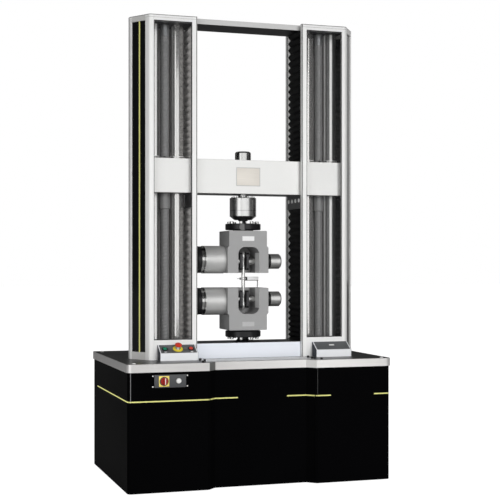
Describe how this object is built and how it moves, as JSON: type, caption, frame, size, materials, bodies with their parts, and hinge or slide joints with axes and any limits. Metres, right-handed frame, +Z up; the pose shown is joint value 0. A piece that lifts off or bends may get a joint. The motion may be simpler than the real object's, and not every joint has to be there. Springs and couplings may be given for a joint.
{
  "type": "compression testing machine",
  "caption": "Floor-standing twin-column machine that squeezes or pulls a specimen between hydraulic grips under a screw-driven crosshead.",
  "frame": {"origin": "on the floor, under the middle of the machine's overall box", "axes": "+Z up, +Y to the machine's back, +X to its right as seen from the operator's side"},
  "size_m": [1.5788, 1.0786, 2.7],
  "materials": {
    "welded_steel": "satin paint over welded tube",
    "zinc_steel": "zinc plated, satin",
    "black_panel": "gloss black powder coat",
    "stainless_tray": "brushed stainless",
    "white_paint": "satin off-white paint",
    "anodised_aluminium": "satin anodised extrusion",
    "grey_cover": "satin grey sheet",
    "dark_cap": "satin light grey paint",
    "clear_window": "clear polycarbonate",
    "ground_steel": "ground and hard chromed",
    "bearing_steel": "turned steel",
    "polished_steel": "polished turned steel",
    "black_oxide": "black oxide",
    "grip_paint": "matt nickel plated",
    "satin_steel": "turned satin steel",
    "light_plastic": "white moulding",
    "console_paint": "fine textured light paint",
    "yellow_plate": "grey carrier with a yellow square",
    "motor_paint": "black paint",
    "pulley_aluminium": "machined",
    "belt_rubber": "matt rubber",
    "bellows_rubber": "coated fabric",
    "red_plastic": "moulded",
    "green_plastic": "moulded"
  },
  "bodies": {
    "machine_frame": {"base_frame": "welded_steel", "levelling_feet": "zinc_steel", "front_panel_left": "black_panel", "front_panel_center": "black_panel", "front_panel_right": "black_panel", "side_panels": "black_panel", "rear_panel": "black_panel", "top_tray": "stainless_tray", "base_crosshead": "white_paint", "left_column_posts": "anodised_aluminium", "right_column_posts": "anodised_aluminium", "column_side_panels": "black_panel", "column_rear_covers": "grey_cover", "window_frames": "anodised_aluminium", "column_windows": "clear_window", "column_end_frames": "dark_cap", "guide_columns": "ground_steel", "top_beam": "white_paint", "screw_bearings": "bearing_steel", "lower_grip_foot": "polished_steel", "lower_grip_flange": "black_oxide", "lower_grip_body": "grip_paint", "lower_left_cylinder": "satin_steel", "lower_right_cylinder": "satin_steel", "specimen": "ground_steel", "extensometer": "light_plastic", "left_console": "console_paint", "right_console": "console_paint", "switch_plate": "yellow_plate", "pilot_lamp": "light_plastic", "drive_motor": "motor_paint", "drive_belt": "belt_rubber", "left_upper_bellows": "bellows_rubber", "left_lower_bellows": "bellows_rubber", "right_upper_bellows": "bellows_rubber", "right_lower_bellows": "bellows_rubber"},
    "crosshead_group": {"crosshead": "white_paint", "guide_bushes": "ground_steel", "ball_nuts": "ground_steel", "crosshead_cap": "polished_steel", "load_cell": "polished_steel", "upper_grip_stem": "polished_steel", "upper_grip_flange": "black_oxide", "upper_grip_body": "grip_paint", "upper_left_cylinder": "satin_steel", "upper_right_cylinder": "satin_steel", "bellows_brackets": "zinc_steel"},
    "left_screw": {"left_ball_screw": "ground_steel", "left_screw_pulley": "pulley_aluminium"},
    "right_screw": {"right_ball_screw": "ground_steel", "right_screw_pulley": "pulley_aluminium"},
    "motor_shaft": {"motor_pulley": "pulley_aluminium"},
    "upper_left_jaw": {"upper_left_jaw": "black_oxide"},
    "upper_right_jaw": {"upper_right_jaw": "black_oxide"},
    "lower_left_jaw": {"lower_left_jaw": "black_oxide"},
    "lower_right_jaw": {"lower_right_jaw": "black_oxide"},
    "estop_button": {"estop_button": "red_plastic"},
    "start_button": {"start_button": "green_plastic"},
    "stop_button": {"stop_button": "red_plastic"},
    "main_switch_knob": {"main_switch_knob": "red_plastic"}
  },
  "joints": [
    {"name": "crosshead_travel", "type": "slide", "parent": "machine_frame", "child": "crosshead_group", "axis": [0, 0, 1], "range_m": [-0.02, 0.7], "deforming": ["left_lower_bellows", "left_upper_bellows", "right_lower_bellows", "right_upper_bellows"]},
    {"name": "left_screw_turn", "type": "hinge", "parent": "machine_frame", "child": "left_screw", "pos_m": [-0.482, -0.11855, 0.9], "axis": [0, 0, 1], "range_deg": [-6320, 200]},
    {"name": "right_screw_turn", "type": "hinge", "parent": "machine_frame", "child": "right_screw", "pos_m": [0.482, -0.11855, 0.9], "axis": [0, 0, 1], "range_deg": [-6320, 200]},
    {"name": "motor_shaft_turn", "type": "hinge", "parent": "machine_frame", "child": "motor_shaft", "pos_m": [0, 0.19945, 0.592], "axis": [0, 0, 1], "range_deg": [-9330, 295.7]},
    {"name": "upper_left_jaw_open", "type": "slide", "parent": "crosshead_group", "child": "upper_left_jaw", "axis": [-1, 0, 0], "range_m": [0, 0.02]},
    {"name": "upper_right_jaw_open", "type": "slide", "parent": "crosshead_group", "child": "upper_right_jaw", "axis": [1, 0, 0], "range_m": [0, 0.02]},
    {"name": "lower_left_jaw_open", "type": "slide", "parent": "machine_frame", "child": "lower_left_jaw", "axis": [-1, 0, 0], "range_m": [0, 0.02]},
    {"name": "lower_right_jaw_open", "type": "slide", "parent": "machine_frame", "child": "lower_right_jaw", "axis": [1, 0, 0], "range_m": [0, 0.02]},
    {"name": "estop_press", "type": "slide", "parent": "machine_frame", "child": "estop_button", "axis": [0, 0.5353, -0.8446], "range_m": [0, 0.004]},
    {"name": "start_press", "type": "slide", "parent": "machine_frame", "child": "start_button", "axis": [0, 0.5353, -0.8446], "range_m": [0, 0.003], "stiffness_N_per_m": 800, "springref_m": -0.001},
    {"name": "stop_press", "type": "slide", "parent": "machine_frame", "child": "stop_button", "axis": [0, 0.5353, -0.8446], "range_m": [0, 0.003], "stiffness_N_per_m": 800, "springref_m": -0.001},
    {"name": "main_switch_turn", "type": "hinge", "parent": "machine_frame", "child": "main_switch_knob", "pos_m": [-0.5806, -0.51305, 0.6205], "axis": [0, 1, 0], "range_deg": [0, 90]}
  ],
  "couplings": [
    {"joint": "left_screw_turn", "follows": "crosshead_travel", "rad_per_m": -157.08},
    {"joint": "right_screw_turn", "follows": "crosshead_travel", "rad_per_m": -157.08},
    {"joint": "motor_shaft_turn", "follows": "crosshead_travel", "rad_per_m": -231.88},
    {"joint": "upper_right_jaw_open", "follows": "upper_left_jaw_open", "ratio": 1},
    {"joint": "lower_right_jaw_open", "follows": "lower_left_jaw_open", "ratio": 1}
  ]
}
